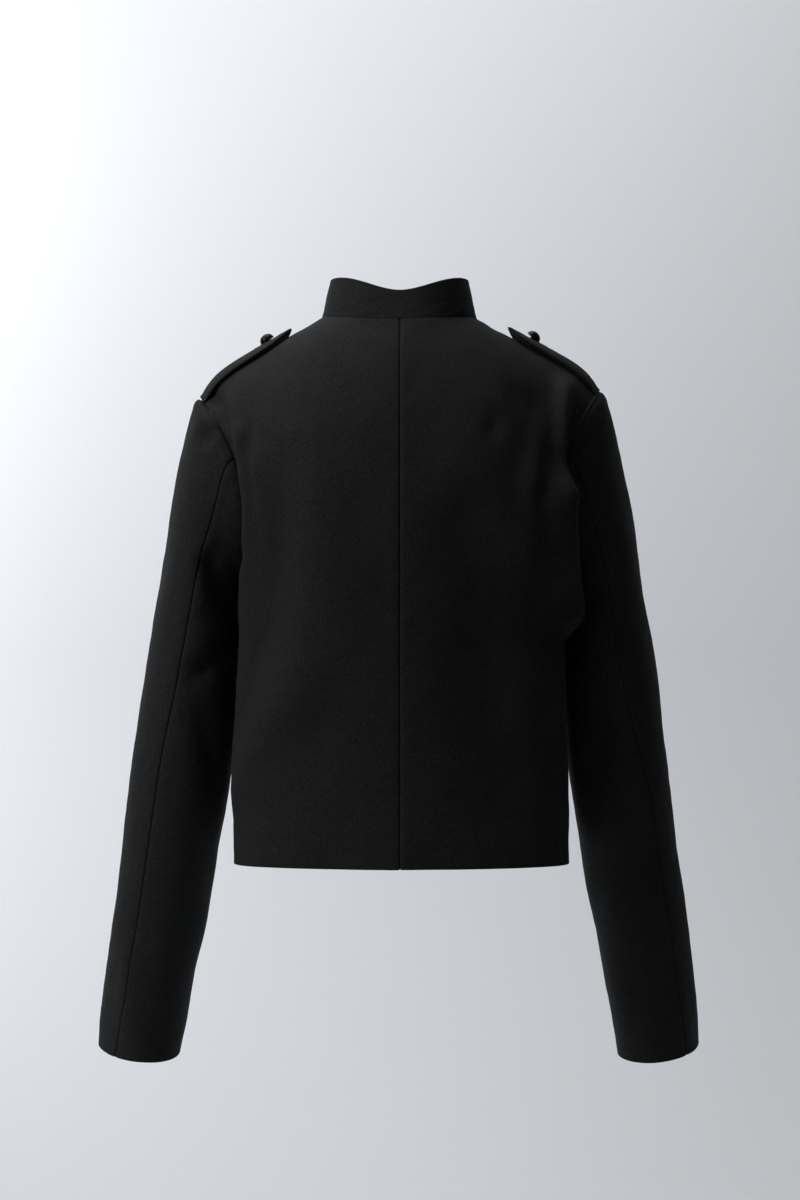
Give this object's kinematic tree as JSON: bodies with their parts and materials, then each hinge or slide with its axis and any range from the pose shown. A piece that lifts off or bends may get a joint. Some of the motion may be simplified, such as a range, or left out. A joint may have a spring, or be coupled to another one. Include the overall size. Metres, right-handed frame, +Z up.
{
  "type": "fitted jacket",
  "caption": "Cropped black jacket, filled out as when worn, with a stand collar, buttoned shoulder straps, two-piece sleeves and a seam down the back.",
  "frame": {"origin": "middle of the neck opening, level with the neck ends of the shoulder seams", "axes": "+Z up the wearer's body, -Y out of the front, +X to the wearer's left"},
  "size_m": [0.593, 0.2489, 0.7553],
  "materials": {
    "back_cloth": "matt black wool-like twill",
    "front_cloth": "matt black wool-like twill",
    "sleeve_cloth": "matt black wool-like twill",
    "collar_cloth": "matt black wool-like twill",
    "strap_cloth": "matt black wool-like twill",
    "button_black": "polished black"
  },
  "bodies": {
    "root": {"back_left": "back_cloth", "back_right": "back_cloth", "front_left": "front_cloth", "front_right": "front_cloth", "sleeve_left_upper": "sleeve_cloth", "sleeve_left_under": "sleeve_cloth", "sleeve_right_upper": "sleeve_cloth", "sleeve_right_under": "sleeve_cloth", "collar": "collar_cloth", "strap_left": "strap_cloth", "strap_right": "strap_cloth", "strap_button_left": "button_black", "strap_button_right": "button_black", "front_button_1": "button_black", "front_button_2": "button_black", "front_button_3": "button_black", "front_button_4": "button_black", "front_button_5": "button_black"}
  },
  "joints": []
}
